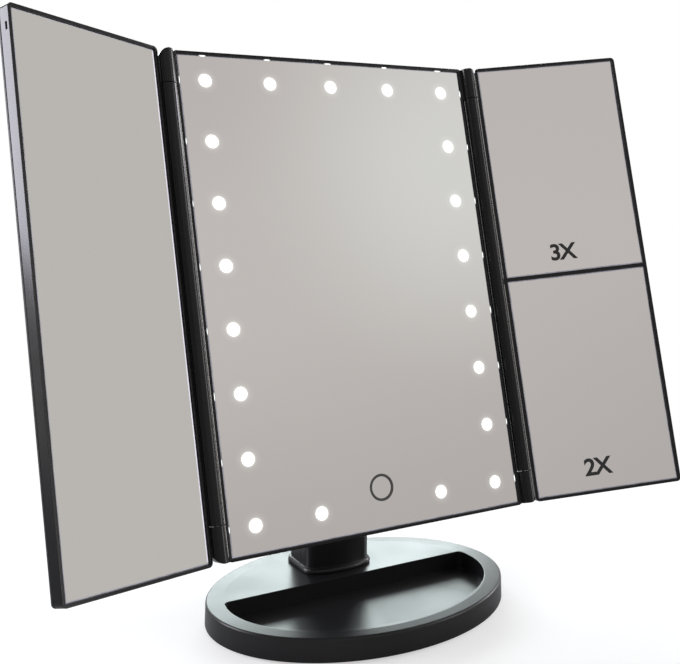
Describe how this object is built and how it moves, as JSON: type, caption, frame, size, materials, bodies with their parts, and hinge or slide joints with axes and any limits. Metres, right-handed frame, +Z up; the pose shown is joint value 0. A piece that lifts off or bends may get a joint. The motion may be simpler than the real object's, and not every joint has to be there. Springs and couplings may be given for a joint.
{
  "type": "trifold vanity mirror",
  "caption": "Free-standing lighted trifold mirror on an oval tray base: flat centre pane with lights round it, one plain wing, one wing with two magnifying panes, tilting neck.",
  "frame": {"origin": "on the ground under the middle of the oval base (the cover face 1 mm above it is the base_underside mount)", "axes": "+Z up, -Y towards the viewer, +X to the viewer's right"},
  "size_m": [0.3331, 0.1261, 0.288],
  "materials": {
    "black_plastic": "satin moulded",
    "rubber": "matt",
    "steel": "plated",
    "mirror": "silvered",
    "frosted_glass": "frosted",
    "dark_ink": "printed behind glass",
    "circuit_board": "solder mask",
    "light_chip": "phosphor",
    "nylon": "natural",
    "foam": "foam tape",
    "cell_jacket": "plain jacket",
    "switch_white": "satin"
  },
  "bodies": {
    "stand": {"base_shell": "black_plastic", "base_cover": "black_plastic", "base_weight": "steel", "base_feet": "rubber", "cover_screws": "steel", "neck_front": "black_plastic", "neck_rear": "black_plastic", "neck_foot_screws": "steel", "neck_shell_screws": "steel"},
    "mirror": {"centre_frame": "black_plastic", "centre_glass": "mirror", "light_windows": "frosted_glass", "touch_ring": "dark_ink", "light_board": "circuit_board", "light_chips": "light_chip", "touch_board": "circuit_board", "control_board": "circuit_board", "board_parts": "black_plastic", "wire_sockets": "nylon", "usb_socket": "steel", "switch_body": "black_plastic", "rear_housing": "black_plastic", "housing_screws": "steel", "battery_cells": "cell_jacket", "battery_contacts": "steel", "battery_springs": "steel", "tilt_bracket": "black_plastic", "bracket_screws": "steel", "tilt_pin": "steel", "friction_washers": "nylon", "pin_caps": "black_plastic", "hinge_pins": "steel"},
    "left_wing": {"left_wing_frame": "black_plastic", "left_wing_glass": "mirror", "left_wing_pads": "foam", "left_wing_back": "black_plastic"},
    "right_wing": {"right_wing_frame": "black_plastic", "right_glass_3x": "mirror", "right_glass_2x": "mirror", "right_wing_pads": "foam", "right_wing_back": "black_plastic"},
    "door": {"battery_door": "black_plastic"},
    "slider": {"switch_slider": "switch_white"}
  },
  "joints": [
    {"name": "mirror_tilt", "type": "hinge", "parent": "stand", "child": "mirror", "pos_m": [0, 0.026, 0.1566], "axis": [-1, 0, 0], "range_deg": [-15.5, 70]},
    {"name": "left_wing_fold", "type": "hinge", "parent": "mirror", "child": "left_wing", "pos_m": [-0.0859, 0.00273, 0.16323], "axis": [0, 0.274, 0.9617], "range_deg": [-26.8, 153.2]},
    {"name": "right_wing_fold", "type": "hinge", "parent": "mirror", "child": "right_wing", "pos_m": [0.0859, 0.00273, 0.16323], "axis": [0, -0.274, -0.9617], "range_deg": [-22.6, 157.4]},
    {"name": "battery_door_slide", "type": "slide", "parent": "mirror", "child": "door", "axis": [0, 0.274, 0.9617], "range_m": [0, 0.05]},
    {"name": "power_switch_slide", "type": "slide", "parent": "mirror", "child": "slider", "axis": [-1, 0, 0], "range_m": [0, 0.003]}
  ]
}
